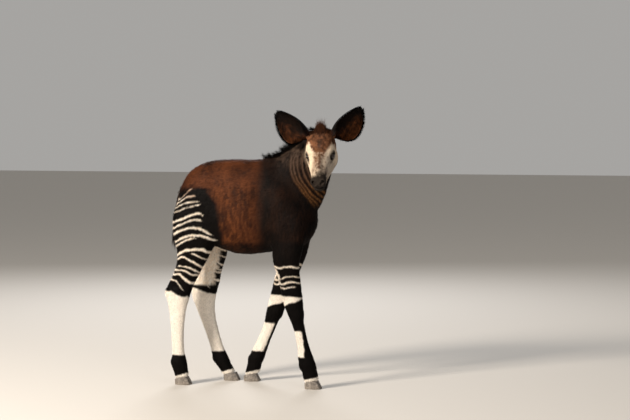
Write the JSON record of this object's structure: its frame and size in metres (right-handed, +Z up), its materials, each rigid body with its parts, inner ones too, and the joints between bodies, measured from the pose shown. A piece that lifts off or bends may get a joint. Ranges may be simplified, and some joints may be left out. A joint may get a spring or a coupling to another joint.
{
  "type": "okapi calf",
  "caption": "Life-size still model of a young okapi standing in mid stride, its head turned to its right and its ears spread.",
  "frame": {"origin": "middle of the bounding box, on the floor", "axes": "+X towards the chest, +Y to the animal's left, +Z up"},
  "size_m": [0.9552, 0.4174, 1.3001],
  "materials": {
    "coat_brown": "short glossy fur, red brown to chestnut",
    "coat_black": "short glossy fur, brown black",
    "coat_striped": "short fur, cream stripes on brown black",
    "coat_white": "short fur, creamy white",
    "coat_face": "short fur, cream and grey with a rufous forehead and a dark muzzle",
    "coat_ear": "soft fur, black outside and rufous inside",
    "hoof": "dark grey horn, satin",
    "eye": "wet, very dark brown"
  },
  "bodies": {
    "root": {"torso": "coat_brown", "neck": "coat_black", "head": "coat_face", "ear_left": "coat_ear", "ear_right": "coat_ear", "eye_left": "eye", "eye_right": "eye", "tail": "coat_black", "hind_right_thigh": "coat_striped", "hind_right_cannon": "coat_white", "hind_right_foot": "coat_black", "hind_right_toe_left": "hoof", "hind_right_toe_right": "hoof", "hind_left_thigh": "coat_striped", "hind_left_cannon": "coat_white", "hind_left_foot": "coat_black", "hind_left_toe_left": "hoof", "hind_left_toe_right": "hoof", "fore_right_arm": "coat_striped", "fore_right_cannon": "coat_white", "fore_right_foot": "coat_black", "fore_right_toe_left": "hoof", "fore_right_toe_right": "hoof", "fore_left_arm": "coat_striped", "fore_left_cannon": "coat_white", "fore_left_foot": "coat_black", "fore_left_toe_left": "hoof", "fore_left_toe_right": "hoof"}
  },
  "joints": []
}
